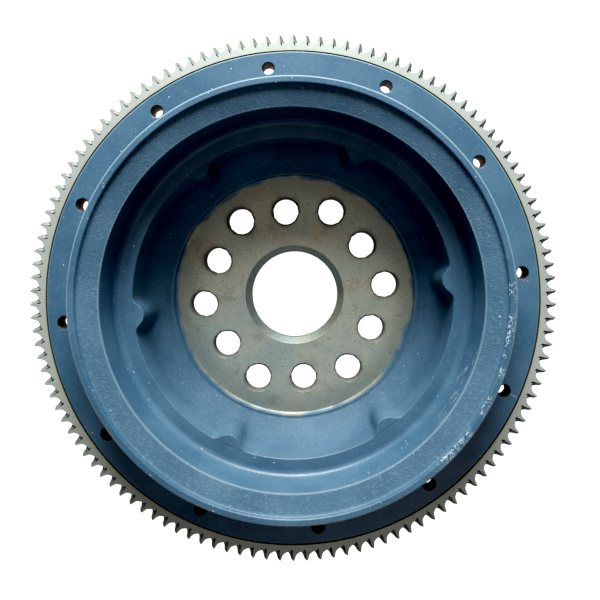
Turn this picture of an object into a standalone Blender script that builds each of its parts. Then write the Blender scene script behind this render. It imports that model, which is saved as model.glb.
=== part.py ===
"""A pot-shaped engine flywheel with a starter ring gear.

It is two pieces. The body is one iron casting: a hub that bolts to the crankshaft, a deep
bowl round it, a flange with twelve holes, and a heavy ring that stands on the flange. The
ring gear is shrunk on to the flange's rim, against a shoulder at the back.

The open side of the bowl faces +Z. The origin is on the turning axis, on the back face
that seats on the crankshaft. Sizes are in metres. Radii are worked out from the
crankshaft's bolts outwards, and heights from the back face forwards.
"""

import math

import bmesh
import bpy
import numpy as np

# Hub, which the crankshaft decides
BORE_RADIUS = 0.0357
BORE_LEAD_IN = 0.005
BORE_BACK_CHAMFER = 0.001
CRANK_HOLE_RADIUS = 0.01075
CRANK_HOLE_CHAMFER = 0.001
NEAR_BOLT_CIRCLE_RADIUS = 0.0693
FAR_BOLT_CIRCLE_RADIUS = 0.0752
HUB_EDGE_MARGIN = 0.01315
HUB_THICKNESS = 0.014
HUB_RECESS_DEPTH = 0.003
HUB_RECESS_FILLET = 0.0025
PAD_EDGE_MARGIN = 0.006
PAD_HEIGHT = 0.002

# Bowl
FLOOR_BAND_WIDTH = 0.0028
BOWL_FLARE = 0.0154
BOWL_FLARE_HEIGHT = 0.0155
BOWL_FLARE_FILLET = 0.03
BOWL_DRAFT = 0.0016
BASE_WALL = 0.018
BASE_FILLET = 0.012
BACK_WALL = 0.029
BACK_FILLET = 0.008

# Bosses, half buried in the wall of the bowl and flush with the ledge
BOSS_RADIUS = 0.0093
BOSS_REACH = 0.0078
BOSS_DRAFT = 0.0012

# Ledge and heavy ring
LEDGE_WIDTH = 0.0132
LEDGE_ABOVE_FLANGE = 0.004
LEDGE_FILLET = 0.005
MOUTH_DRAFT = 0.0022
RING_WALL = 0.0201
RING_HEIGHT = 0.04
RING_CHAMFER = 0.001
RING_FOOT_FILLET = 0.002
LIP_WIDTH = 0.0044
LIP_HEIGHT = 0.003
LIP_FILLET = 0.0027
CAST_FACE_DROP = 0.0045

# Flange
FLANGE_WIDTH = 0.0297
FLANGE_THICKNESS = 0.016
FLANGE_FACE_HEIGHT = 0.065
RIM_CHAMFER = 0.0008
FLANGE_HOLE_RADIUS = 0.00435
FLANGE_HOLE_CHAMFER = 0.0004
FLANGE_HOLE_INSET = 0.0118
SHOULDER_WIDTH = 0.003
SHOULDER_HEIGHT = 0.003

# Ring gear with stub teeth: heights are in modules, which the root radius and count give.
# The bevel's front edge runs BEVEL_LINE clockwise of the tooth's middle.
TEETH = 122
GEAR_BAND = 0.0072
GEAR_SET_BACK = 0.0015
SEAT_CLEARANCE = 0.0003
TOOTH_ADDENDUM = 0.8
TOOTH_DEDENDUM = 1.0
PRESSURE_ANGLE = math.radians(20)
TOOTH_SIDE_PLAY = 0.0004
BEVEL_LINE = 0.0003
BEVEL_DIP = 0.0015
BEVEL_LENGTH = 0.003
GEAR_BORE_CHAMFER = 0.0006
GEAR_TURN = math.radians(1.37)

# Patterns
BOLT_PAIRS = 6
FLANGE_HOLES = 12
PATTERN_TURN = math.radians(6.2)

# How finely round shapes are divided, and the share of a side that a fillet may take
TURNED_SEGMENTS = 72
LARGE_HOLE_SEGMENTS = 20
SMALL_HOLE_SEGMENTS = 12
FILLET_STEP = math.radians(30)
FILLET_SHARE = 0.9
SHARP_ANGLE = math.radians(30)
CUT_PAST = 0.004

# Radii that follow, from the hub outwards
PAD_RADIUS = FAR_BOLT_CIRCLE_RADIUS + CRANK_HOLE_RADIUS + PAD_EDGE_MARGIN
HUB_FACE_RADIUS = (max(NEAR_BOLT_CIRCLE_RADIUS, FAR_BOLT_CIRCLE_RADIUS)
                   + CRANK_HOLE_RADIUS + HUB_EDGE_MARGIN)
FLOOR_RADIUS = HUB_FACE_RADIUS + FLOOR_BAND_WIDTH
BOWL_RADIUS = FLOOR_RADIUS + BOWL_FLARE + BOWL_DRAFT
LEDGE_RADIUS = BOWL_RADIUS + LEDGE_WIDTH
MOUTH_RADIUS = LEDGE_RADIUS + MOUTH_DRAFT
RING_RADIUS = MOUTH_RADIUS + RING_WALL
RIM_RADIUS = RING_RADIUS + FLANGE_WIDTH
FLANGE_HOLE_CIRCLE_RADIUS = RIM_RADIUS - FLANGE_HOLE_INSET
SHOULDER_RADIUS = RIM_RADIUS + SHOULDER_HEIGHT
GEAR_SEAT_RADIUS = RIM_RADIUS + SEAT_CLEARANCE
GEAR_ROOT_RADIUS = GEAR_SEAT_RADIUS + GEAR_BAND

# Heights that follow, from the back face forwards
FLOOR_HEIGHT = HUB_THICKNESS + HUB_RECESS_DEPTH
FLANGE_BACK_HEIGHT = FLANGE_FACE_HEIGHT - FLANGE_THICKNESS
LEDGE_HEIGHT = FLANGE_FACE_HEIGHT + LEDGE_ABOVE_FLANGE
RING_TOP_HEIGHT = FLANGE_FACE_HEIGHT + RING_HEIGHT
CAST_FACE_HEIGHT = RING_TOP_HEIGHT - LIP_HEIGHT
GEAR_BACK_HEIGHT = FLANGE_BACK_HEIGHT + SHOULDER_WIDTH + SEAT_CLEARANCE
GEAR_FACE_HEIGHT = FLANGE_FACE_HEIGHT - GEAR_SET_BACK


def clear_scene():
    for obj in list(bpy.data.objects):
        bpy.data.objects.remove(obj, do_unlink=True)


def metal(name, color, roughness, metallic):
    """A Principled material with one colour (linear RGB)."""
    material = bpy.data.materials.new(name)
    material.use_nodes = True
    shader = material.node_tree.nodes["Principled BSDF"]
    shader.inputs["Base Color"].default_value = (*color, 1.0)
    shader.inputs["Roughness"].default_value = roughness
    shader.inputs["Metallic"].default_value = metallic
    return material


def add_object(name, bm):
    """Puts a finished bmesh in the scene as an object, with its round faces smooth."""
    bmesh.ops.recalc_face_normals(bm, faces=bm.faces)
    mesh = bpy.data.meshes.new(name)
    bm.to_mesh(mesh)
    bm.free()
    mesh.shade_smooth()
    mesh.set_sharp_from_angle(angle=SHARP_ANGLE)
    obj = bpy.data.objects.new(name, mesh)
    bpy.context.scene.collection.objects.link(obj)
    return obj


def hide_cutter(obj):
    obj.hide_render = True
    obj.display_type = "WIRE"
    return obj


def cut(obj, cutter):
    """Takes the cutter's shape away from the object."""
    modifier = obj.modifiers.new("cut by " + cutter.name, "BOOLEAN")
    modifier.operation = "DIFFERENCE"
    modifier.solver = "EXACT"
    modifier.object = hide_cutter(cutter)


def rounded(corners):
    """The (radius, height) points of an outline, with an arc at each corner that has a fillet.

    A corner is (radius, height) or (radius, height, fillet). A fillet takes at most
    FILLET_SHARE of the shorter side that it touches.
    """
    points = [np.array(corner[:2]) for corner in corners]
    outline = []
    for index, corner in enumerate(corners):
        here = points[index]
        if len(corner) < 3:
            outline.append(here)
            continue
        before = points[index - 1] - here
        after = points[(index + 1) % len(points)] - here
        lengths = np.linalg.norm(before), np.linalg.norm(after)
        before = before / lengths[0]
        after = after / lengths[1]
        opening = math.acos(float(np.clip(before @ after, -1, 1)))
        turn = math.pi - opening
        reach = min(corner[2] * math.tan(turn / 2), FILLET_SHARE * min(lengths))
        radius = reach / math.tan(turn / 2)
        middle = here + (before + after) / np.linalg.norm(before + after) \
            * radius / math.sin(opening / 2)
        steps = max(2, round(turn / FILLET_STEP))
        start = here + before * reach - middle
        end = here + after * reach - middle
        for step in range(steps + 1):
            share = step / steps
            arm = (math.sin((1 - share) * turn) * start + math.sin(share * turn) * end)
            outline.append(middle + arm / math.sin(turn))
    return outline


def turned(name, outline, segments, x=0.0, y=0.0):
    """A solid turned from an outline that starts and ends on the axis."""
    bm = bmesh.new()
    add_turned(bm, outline, segments, x, y)
    return add_object(name, bm)


def add_turned(bm, outline, segments, x, y):
    """Adds one turned solid to a bmesh. The outline's first and last points lie on the axis."""
    verts = [bm.verts.new((x + radius, y, height)) for radius, height in outline]
    edges = [bm.edges.new(pair) for pair in zip(verts, verts[1:])]
    bmesh.ops.spin(bm, geom=verts + edges, cent=(x, y, 0), axis=(0, 0, 1),
                   angle=math.tau, steps=segments, use_merge=True)
    bmesh.ops.remove_doubles(bm, verts=bm.verts, dist=1e-6)


def body_blank():
    """The outside of the casting, with the ring's mouth open down to the ledge."""
    base_radius = HUB_FACE_RADIUS + BASE_WALL
    back_radius = BOWL_RADIUS + BACK_WALL
    lip_inner_radius = RING_RADIUS - RING_CHAMFER - LIP_WIDTH
    outline = rounded([
        (0, 0),
        (PAD_RADIUS, 0),
        (PAD_RADIUS, PAD_HEIGHT),
        (base_radius, PAD_HEIGHT, BASE_FILLET),
        (back_radius, FLANGE_BACK_HEIGHT, BACK_FILLET),
        (SHOULDER_RADIUS, FLANGE_BACK_HEIGHT),
        (SHOULDER_RADIUS, FLANGE_BACK_HEIGHT + SHOULDER_WIDTH),
        (RIM_RADIUS, FLANGE_BACK_HEIGHT + SHOULDER_WIDTH),
        (RIM_RADIUS, FLANGE_FACE_HEIGHT - RIM_CHAMFER),
        (RIM_RADIUS - RIM_CHAMFER, FLANGE_FACE_HEIGHT),
        (RING_RADIUS, FLANGE_FACE_HEIGHT, RING_FOOT_FILLET),
        (RING_RADIUS, RING_TOP_HEIGHT - RING_CHAMFER),
        (RING_RADIUS - RING_CHAMFER, RING_TOP_HEIGHT),
        (lip_inner_radius, RING_TOP_HEIGHT),
        (lip_inner_radius, CAST_FACE_HEIGHT, LIP_FILLET),
        (MOUTH_RADIUS, CAST_FACE_HEIGHT - CAST_FACE_DROP),
        (LEDGE_RADIUS, LEDGE_HEIGHT, LEDGE_FILLET),
        (0, LEDGE_HEIGHT),
    ])
    return turned("flywheel_body", outline, TURNED_SEGMENTS)


def bowl_core():
    """The space below the ledge: the bowl, the hub's machined recess and the bore."""
    outline = rounded([
        (0, LEDGE_HEIGHT + CUT_PAST),
        (BOWL_RADIUS, LEDGE_HEIGHT + CUT_PAST),
        (BOWL_RADIUS, LEDGE_HEIGHT),
        (BOWL_RADIUS - BOWL_DRAFT, FLOOR_HEIGHT + BOWL_FLARE_HEIGHT, BOWL_FLARE_FILLET),
        (FLOOR_RADIUS, FLOOR_HEIGHT),
        (HUB_FACE_RADIUS, FLOOR_HEIGHT),
        (HUB_FACE_RADIUS, HUB_THICKNESS, HUB_RECESS_FILLET),
        (BORE_RADIUS + BORE_LEAD_IN, HUB_THICKNESS),
        (BORE_RADIUS, HUB_THICKNESS - BORE_LEAD_IN),
        (BORE_RADIUS, BORE_BACK_CHAMFER),
        (BORE_RADIUS + BORE_BACK_CHAMFER + CUT_PAST, -CUT_PAST),
        (0, -CUT_PAST),
    ])
    core = turned("bowl_core", outline, TURNED_SEGMENTS)
    cut(core, boss_posts())
    return core


def round_the_pattern(count, radius, offset=0.0):
    """The (x, y) points of a ring of equal steps."""
    for index in range(count):
        angle = PATTERN_TURN + offset + index * math.tau / count
        yield radius * math.cos(angle), radius * math.sin(angle)


def boss_posts():
    """The posts that the bowl's core leaves standing, wider at the foot for draft."""
    bm = bmesh.new()
    circle_radius = BOWL_RADIUS - BOSS_REACH + BOSS_RADIUS
    top = LEDGE_HEIGHT + 2 * CUT_PAST
    foot = HUB_THICKNESS + HUB_RECESS_DEPTH / 2
    for x, y in round_the_pattern(BOLT_PAIRS, circle_radius):
        post = [(0, top), (BOSS_RADIUS, top), (BOSS_RADIUS + BOSS_DRAFT, foot), (0, foot)]
        add_turned(bm, post, LARGE_HOLE_SEGMENTS, x, y)
    return add_object("boss_posts", bm)


def drill(radius, chamfer, face, back):
    """The outline of a straight hole with a 45 degree chamfer at its front face."""
    return [
        (0, face + CUT_PAST),
        (radius + chamfer + CUT_PAST, face + CUT_PAST),
        (radius, face - chamfer),
        (radius, back - CUT_PAST),
        (0, back - CUT_PAST),
    ]


def bolt_holes():
    """Crankshaft bolt holes on two circles by turns, and the ring of holes in the flange."""
    bm = bmesh.new()
    crank_drill = drill(CRANK_HOLE_RADIUS, CRANK_HOLE_CHAMFER, HUB_THICKNESS, 0)
    between = math.pi / BOLT_PAIRS
    for circle_radius, offset in ((FAR_BOLT_CIRCLE_RADIUS, 0), (NEAR_BOLT_CIRCLE_RADIUS, between)):
        for x, y in round_the_pattern(BOLT_PAIRS, circle_radius, offset):
            add_turned(bm, crank_drill, LARGE_HOLE_SEGMENTS, x, y)
    flange_drill = drill(FLANGE_HOLE_RADIUS, FLANGE_HOLE_CHAMFER, FLANGE_FACE_HEIGHT,
                         FLANGE_BACK_HEIGHT)
    for x, y in round_the_pattern(FLANGE_HOLES, FLANGE_HOLE_CIRCLE_RADIUS):
        add_turned(bm, flange_drill, SMALL_HOLE_SEGMENTS, x, y)
    return add_object("bolt_holes", bm)


def flywheel_body():
    body = body_blank()
    cut(body, bowl_core())
    cut(body, bolt_holes())
    body.data.materials.append(metal("blue_paint", (0.045, 0.13, 0.24), 0.45, 0.0))
    return body


def tooth_corners():
    """The four corners of a tooth, as (radius, angle), in order anticlockwise from its root."""
    module = GEAR_ROOT_RADIUS / (TEETH / 2 - TOOTH_DEDENDUM)
    pitch_radius = module * TEETH / 2
    tip_radius = pitch_radius + TOOTH_ADDENDUM * module
    half_at_pitch = math.pi * module / 4 - TOOTH_SIDE_PLAY
    half_at_root = half_at_pitch + TOOTH_DEDENDUM * module * math.tan(PRESSURE_ANGLE)
    half_at_tip = half_at_pitch - TOOTH_ADDENDUM * module * math.tan(PRESSURE_ANGLE)
    root_turn = half_at_root / GEAR_ROOT_RADIUS
    tip_turn = half_at_tip / tip_radius
    return [
        (GEAR_ROOT_RADIUS, -root_turn),
        (tip_radius, -tip_turn),
        (tip_radius, tip_turn),
        (GEAR_ROOT_RADIUS, root_turn),
    ]


def bevelled_corners():
    """The tooth's corners at its front end, where a bevel has cut away the clockwise flank.

    The bevel leaves a radial edge there, and dips a little into the band.
    """
    corners = tooth_corners()
    for index, dip in ((0, BEVEL_DIP), (1, 0)):
        radius = corners[index][0] - dip
        corners[index] = (radius, -BEVEL_LINE / radius)
    return corners


def ring_gear():
    """A closed ring: each level is one loop of points, and neighbouring loops are joined."""
    pitch = math.tau / TEETH
    seat = GEAR_SEAT_RADIUS / math.cos(pitch / 2)
    chamfered_seat = seat + GEAR_BORE_CHAMFER
    bm = bmesh.new()

    def loop(corners, height):
        points = []
        for tooth in range(TEETH):
            for radius, turn in corners:
                angle = GEAR_TURN + tooth * pitch + turn
                points.append(bm.verts.new(
                    (radius * math.cos(angle), radius * math.sin(angle), height)))
        return points

    outside = [
        loop(tooth_corners(), GEAR_BACK_HEIGHT),
        loop(tooth_corners(), GEAR_FACE_HEIGHT - BEVEL_LENGTH),
        loop(bevelled_corners(), GEAR_FACE_HEIGHT),
    ]
    inside = [
        loop([(seat, -pitch / 2)], GEAR_BACK_HEIGHT),
        loop([(seat, -pitch / 2)], GEAR_FACE_HEIGHT - GEAR_BORE_CHAMFER),
        loop([(chamfered_seat, -pitch / 2)], GEAR_FACE_HEIGHT),
    ]
    for lower, upper in (outside[:2], outside[1:], inside[:2], inside[1:]):
        for index, corner in enumerate(lower):
            following = (index + 1) % len(lower)
            bm.faces.new((corner, lower[following], upper[following], upper[index]))
    per_tooth = len(tooth_corners())
    for outer, inner in ((outside[0], inside[0]), (outside[-1], inside[-1])):
        for tooth in range(TEETH):
            first = per_tooth * tooth
            corners = outer[first:first + per_tooth]
            next_corner = outer[(first + per_tooth) % len(outer)]
            here = inner[tooth]
            there = inner[(tooth + 1) % TEETH]
            bm.faces.new((here, *corners, there))
            bm.faces.new((there, corners[-1], next_corner))
    gear = add_object("ring_gear", bm)
    gear.data.materials.append(metal("bare_steel", (0.55, 0.57, 0.52), 0.4, 1.0))
    return gear


def main():
    clear_scene()
    flywheel_body()
    ring_gear()


main()
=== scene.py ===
"""Finishes the pot-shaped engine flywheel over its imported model.

The casting and the starter ring gear are worked out again with fine fillets, chamfers and
bevelled teeth, and get sprayed paint, bare machined iron and hobbed steel. Sizes are in
metres, +Z is the open side, and the origin is on the turning axis at the crankshaft face.
"""

import math

import bmesh
import bpy
import numpy as np
from bpy.props import FloatProperty, FloatVectorProperty, IntProperty, PointerProperty
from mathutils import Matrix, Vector


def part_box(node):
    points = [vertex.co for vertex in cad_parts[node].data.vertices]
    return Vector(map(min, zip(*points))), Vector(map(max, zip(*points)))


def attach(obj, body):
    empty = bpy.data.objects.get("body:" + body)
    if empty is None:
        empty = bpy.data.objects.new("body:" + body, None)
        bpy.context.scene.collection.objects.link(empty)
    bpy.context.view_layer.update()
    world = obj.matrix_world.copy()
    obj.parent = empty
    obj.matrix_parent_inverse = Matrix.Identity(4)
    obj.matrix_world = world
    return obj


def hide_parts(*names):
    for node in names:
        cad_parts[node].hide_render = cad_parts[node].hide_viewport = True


bl_info = {
    "name": "Engine Flywheel Finish",
    "version": (1, 0, 0),
    "blender": (4, 5, 0),
    "location": "3D View > Sidebar > Flywheel",
    "description": "Makes the finished casting and ring gear of a pot-shaped flywheel",
    "category": "Object",
}

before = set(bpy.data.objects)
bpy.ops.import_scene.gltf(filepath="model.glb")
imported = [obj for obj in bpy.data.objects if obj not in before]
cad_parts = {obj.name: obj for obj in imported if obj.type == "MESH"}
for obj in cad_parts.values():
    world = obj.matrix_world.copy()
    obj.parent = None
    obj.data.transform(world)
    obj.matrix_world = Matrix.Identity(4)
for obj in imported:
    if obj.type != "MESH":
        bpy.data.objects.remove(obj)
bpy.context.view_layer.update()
BODY_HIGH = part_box("flywheel_body")[1]
GEAR_LOW, GEAR_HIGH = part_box("ring_gear")
PATTERN_TURN = math.radians(6.2)
PAINT = (0.046, 0.098, 0.158)
BARE_IRON = (0.46, 0.46, 0.40)
BARE_STEEL = (0.37, 0.39, 0.36)
RUST = (0.16, 0.09, 0.045)

# The finished tones: the darkest light that still shows, where highlights start to be held
# back, how bright full white comes out, how bright the air and floor look to the camera, and
# how much light the floor and the air give off
BLACK_LEVEL = 0.022
SHOULDER_START = 0.4
SHOULDER_WHITE = 0.76
WHITE_AIR = 1.7
FLOOR_GLOW = 0.10
AIR_GLOW = 0.01
GAMMA = 0.82

# The camera looks straight down from beside the axis
CAMERA_PLACE = (0.01067, 0.0253)
LENS_LENGTH = 37.12
LENS_SHIFT = (-0.0124, -0.0602)


# Sizes and colours that a user would change

def length(name, description, default):
    """A size in metres that can't be negative."""
    return FloatProperty(name=name, description=description, default=default,
                         min=0.0, unit="LENGTH", precision=4)


def colour(name, description, default):
    """A colour as linear red, green and blue."""
    return FloatVectorProperty(name=name, description=description, default=default,
                               min=0.0, max=1.0, size=3, subtype="COLOR")


class CastingSettings(bpy.types.PropertyGroup):
    bore_radius: length("Bore", "Radius of the crankshaft bore", 0.0357)
    bore_lead_in: length("Bore lead-in", "Width of the cone at the bore's front", 0.005)
    crank_hole_radius: length("Crankshaft holes", "Radius of the crankshaft bolt holes", 0.01075)
    far_circle: length("Far bolt circle", "Radius of the wider bolt circle", 0.0752)
    near_circle: length("Near bolt circle", "Radius of the tighter bolt circle", 0.0693)
    hub_radius: length("Hub face", "Radius of the machined recess in the hub", 0.0991)
    hub_height: length("Hub height", "Height of the hub's machined face", 0.014)
    floor_height: length("Floor height", "Height of the unmachined floor round the hub", 0.017)
    bowl_radius: length("Bowl", "Radius of the bowl at the ledge", 0.1189)
    boss_radius: length("Bosses", "Radius of the half-round bosses", 0.0093)
    boss_reach: length("Boss reach", "How far a boss stands out of the wall", 0.0078)
    boss_blend: length("Boss blend", "Size of the fillet where a boss joins the wall", 0.0050)
    ledge_radius: length("Ledge", "Radius of the ledge's outer corner", 0.1321)
    ledge_height: length("Ledge height", "Height of the ledge", 0.069)
    mouth_radius: length("Mouth", "Radius of the raised ring's inner wall at the top", 0.1343)
    ring_radius: length("Raised ring", "Radius of the raised ring's outer wall", 0.1544)
    rim_radius: length("Rim", "Radius of the flange's rim, inside the gear", 0.1841)
    flange_face: length("Flange face", "Height of the flange's front face", 0.065)
    flange_back: length("Flange back", "Height of the flange's back face", 0.049)
    flange_hole_radius: length("Flange holes", "Radius of the flange's bolt holes", 0.00435)
    flange_circle: length("Flange bolt circle", "Radius of the flange's bolt circle", 0.1723)
    paint: colour("Paint", "Colour of the sprayed paint", PAINT)
    bare_iron: colour("Bare iron", "Colour of the machined iron", BARE_IRON)
    rust: colour("Rust", "Colour of the rust film on bare iron", RUST)


class GearSettings(bpy.types.PropertyGroup):
    teeth: IntProperty(name="Teeth", description="Number of teeth", default=122, min=12)
    bore: length("Bore", "Radius of the gear's bore", 0.1844)
    root: length("Root", "Radius at the foot of the teeth", 0.1916)
    turn: FloatProperty(name="Turn", description="Angle of the first tooth",
                        default=math.radians(1.37), subtype="ANGLE")
    bevel_line: length("Bevel line", "How far past a tooth's middle its bevel reaches", 0.0004)
    bevel_dip: length("Bevel dip", "How far the bevel cuts into the band", 0.0016)
    bevel_length: length("Bevel length", "Depth of the bevel behind the gear's face", 0.0034)
    steel: colour("Steel", "Colour of the bare steel", BARE_STEEL)


class StageSettings(bpy.types.PropertyGroup):
    key_power: FloatProperty(name="Key light", description="Power of the main softbox",
                             default=88.0, min=0.0, unit="POWER")
    fill_power: FloatProperty(name="Fill light", description="Power of the overhead softbox",
                              default=3.1, min=0.0, unit="POWER")
    near_power: FloatProperty(name="Near light", description="Power of the near softbox",
                              default=2.2, min=0.0, unit="POWER")
    camera_height: length("Camera height", "Height of the camera above the floor", 0.5267)
    floor_colour: colour("Floor", "Colour of the studio floor", (0.45, 0.45, 0.45))


# Surfaces as whole arrays of points. A sector is the stretch round one hole: it has COLUMNS
# columns, and a flat ring's grid has SIDE_STEPS steps down each of its sides.

SUPPORT = 0.0003
FILLET_STEP = math.radians(14)
SECTORS = 12
COLUMNS = 24
SIDE_STEPS = 4
RING_STEPS = np.array([0, 0.03, 0.12, 0.35, 0.65, 0.9, 0.98, 1])
RING_WIDTH = 0.012


def column_angles():
    """One angle for each column of the casting, all the way round.

    There are twelve equal sectors, one for each hole. Within a sector u goes from -1 to 1 and
    the angle is middle + half * (u + u cubed) / 2, which crowds the columns at the middle.
    """
    u = np.linspace(-1, 1, COLUMNS + 1)[:-1]
    half = math.pi / SECTORS
    middles = PATTERN_TURN + np.arange(SECTORS) * 2 * half
    return (middles[:, None] + half * (u + u ** 3) / 2).ravel()


def arc(start, corner, end, fillet):
    """The points of a fillet at a corner, from the side that comes from start to the next.

    Its middle lies on the corner's bisector, fillet / sin(half opening) away, and each point
    is middle + fillet * (sine blend of the two end directions).
    """
    before = (start - corner) / np.linalg.norm(start - corner)
    after = (end - corner) / np.linalg.norm(end - corner)
    opening = math.acos(float(np.clip(before @ after, -1, 1)))
    turn = math.pi - opening
    bisector = (before + after) / np.linalg.norm(before + after)
    middle = corner + bisector * fillet / math.sin(opening / 2)
    reach = fillet * math.tan(turn / 2)
    share = np.linspace(0, 1, max(3, math.ceil(turn / FILLET_STEP)) + 1)[:, None]
    first = corner + before * reach - middle
    last = corner + after * reach - middle
    return middle + (np.sin((1 - share) * turn) * first + np.sin(share * turn) * last) \
        / math.sin(turn)


def outline(corners):
    """(radius, height) rows along corners given as (radius, height, fillet).

    Each straight stretch keeps a row close to both of its ends, so that smooth shading turns
    only in the fillets. The first and last corners are plain ends.
    """
    points = [np.array(corner[:2], float) for corner in corners]
    stretches = [points[0][None]]
    for index in range(1, len(corners) - 1):
        stretches.append(arc(points[index - 1], points[index], points[index + 1],
                             corners[index][2]))
    stretches.append(points[-1][None])
    rows = [stretches[0]]
    for here, there in zip(stretches, stretches[1:]):
        gap = there[0] - here[-1]
        size = np.linalg.norm(gap)
        if size > 4 * SUPPORT:
            step = gap / size * SUPPORT
            rows.append(np.array([here[-1] + step, there[0] - step]))
        rows.append(there)
    return np.concatenate(rows)


def revolve(rows, angles):
    """Grid of points: each (radius, height) row carried round the axis at the given angles.

    The radius may be one number for each row, or a whole row of them.
    """
    radii = rows[0] if isinstance(rows, tuple) else rows[:, :1]
    heights = rows[1] if isinstance(rows, tuple) else rows[:, 1:]
    radii, heights, turns = np.broadcast_arrays(radii, heights, angles[None])
    return np.stack([radii * np.cos(turns), radii * np.sin(turns), heights], axis=-1)


def sector_outline(inner, outer):
    """(12, N) radii and angles round each sector of a flat ring, anticlockwise from its
    outer clockwise corner: outer arc, far side, inner arc and near side."""
    half = math.pi / SECTORS
    u = np.linspace(-1, 1, COLUMNS + 1)
    across = half * (u + u ** 3) / 2
    down = np.linspace(outer, inner, SIDE_STEPS + 1)
    radii = np.concatenate([np.full(COLUMNS, outer), down[:-1], np.full(COLUMNS, inner),
                            down[::-1][:-1]])
    turns = np.concatenate([across[:-1], np.full(SIDE_STEPS, half), across[::-1][:-1],
                            np.full(SIDE_STEPS, -half)])
    middles = PATTERN_TURN + np.arange(SECTORS)[:, None] * 2 * half
    return np.broadcast_to(radii, (SECTORS, len(radii))), middles + turns


def holed_ring(inner, outer, height, centres, hole_radius):
    """A flat ring with one round hole in each sector.

    Every ring of a sector's grid is (1 - t) * hole circle + t * sector outline. A point of the
    circle lies in the direction from the hole's centre to its partner in the outline. Gives the
    grid (12, rings, N, 3) and the directions (12, N).
    """
    radii, turns = sector_outline(inner, outer)
    edge = np.stack([radii * np.cos(turns), radii * np.sin(turns)], axis=-1)
    middles = PATTERN_TURN + np.arange(SECTORS) * math.tau / SECTORS
    centre = np.stack([centres * np.cos(middles), centres * np.sin(middles)], axis=-1)[:, None]
    away = edge - centre
    direction = np.arctan2(away[..., 1], away[..., 0])
    circle = centre + hole_radius * np.stack([np.cos(direction), np.sin(direction)], axis=-1)
    share = RING_STEPS[None, :, None, None]
    flat = (1 - share) * circle[:, None] + share * edge[:, None]
    level = np.full(flat.shape[:-1] + (1,), height)
    return np.concatenate([flat, level], axis=-1), direction


def hole_walls(centres, rows, front, back):
    """The walls of the twelve holes: a (radius, height) outline carried round each centre.

    The directions turn evenly from those of the front ring's grid to those of the back's.
    """
    share = np.linspace(0, 1, len(rows))[None, :, None]
    swing = (back - front + math.pi) % math.tau - math.pi
    direction = front[:, None] + share * swing[:, None]
    middles = PATTERN_TURN + np.arange(SECTORS) * math.tau / SECTORS
    radius = rows[None, :, :1]
    x = (centres * np.cos(middles))[:, None, None] + radius * np.cos(direction)
    y = (centres * np.sin(middles))[:, None, None] + radius * np.sin(direction)
    return np.stack(np.broadcast_arrays(x, y, rows[None, :, 1:]), axis=-1)


def bossed_radius(radius, height, angles, settings):
    """The bowl's wall with its bosses, as a radius for each row and column.

    The hollow is min(depth inside the wall, distance outside the nearest post), with the two
    blended over boss_blend: h = clamp(0.5 + (post - wall) / (2 k)) and
    depth = mix(post, wall, h) - k h (1 - h). The radius where that is zero is found by
    halving an interval forty times for the whole grid at once.
    """
    step = math.tau / 6
    local = (angles - PATTERN_TURN + step / 2) % step - step / 2
    middle = settings.bowl_radius - settings.boss_reach + settings.boss_radius
    foot = (settings.ledge_height - height) / (settings.ledge_height - settings.floor_height)
    post_radius = settings.boss_radius + 0.0012 * foot
    blend = settings.boss_blend
    low = np.broadcast_to(radius - 0.03, (len(radius), len(angles))).copy()
    high = np.broadcast_to(radius, low.shape).copy()
    for _ in range(40):
        trial = (low + high) / 2
        wall = radius - trial
        post = np.hypot(trial * np.cos(local) - middle, trial * np.sin(local)) - post_radius
        share = np.clip(0.5 + (post - wall) / (2 * blend), 0, 1)
        depth = post * (1 - share) + wall * share - blend * share * (1 - share)
        low = np.where(depth > 0, trial, low)
        high = np.where(depth > 0, high, trial)
    return high


class Skin:
    """Collects grids of points and makes one closed mesh of them."""

    def __init__(self):
        self.points = []
        self.faces = []
        self.marks = []
        self.gaps = []
        self.count = 0

    def add(self, grids, mark=0, gaps=None):
        """Adds grids of points (..., rows, columns, 3), each closed round its columns."""
        grids = grids.reshape((-1,) + grids.shape[-3:])
        many, rows, columns = grids.shape[:3]
        index = self.count + np.arange(many * rows * columns).reshape(many, rows, columns)
        following = np.roll(index, -1, axis=2)
        quads = np.stack([index[:, :-1], following[:, :-1], following[:, 1:], index[:, 1:]],
                         axis=-1).reshape(-1, 4)
        self.points.append(grids.reshape(-1, 3))
        self.faces.append(quads)
        self.marks.append(np.full(len(quads), mark, np.int32))
        self.gaps.append(np.full(grids.shape[:3], 1.0).ravel() if gaps is None
                         else np.broadcast_to(gaps, grids.shape[:3]).ravel())
        self.count += many * rows * columns

    def finish(self, name, materials):
        """Welds the grids' edges, turns all faces outwards and links the object."""
        points = np.concatenate(self.points)
        faces = np.concatenate(self.faces)
        mesh = bpy.data.meshes.new(name)
        mesh.from_pydata(points, [], faces)
        mesh.polygons.foreach_set("material_index", np.concatenate(self.marks))
        gap = mesh.attributes.new("hole_gap", "FLOAT", "POINT")
        gap.data.foreach_set("value", np.concatenate(self.gaps).astype(np.float32))
        bm = bmesh.new()
        bm.from_mesh(mesh)
        bmesh.ops.remove_doubles(bm, verts=bm.verts, dist=2e-6)
        bmesh.ops.recalc_face_normals(bm, faces=bm.faces)
        bm.to_mesh(mesh)
        bm.free()
        mesh.shade_smooth()
        for material in materials:
            mesh.materials.append(material)
        piece = bpy.data.objects.new(name, mesh)
        bpy.context.scene.collection.objects.link(piece)
        return piece


# The casting. The radii are those of its back, its gear shoulder and the lip of its raised
# ring, and the angles say where its paint is worn.

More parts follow.
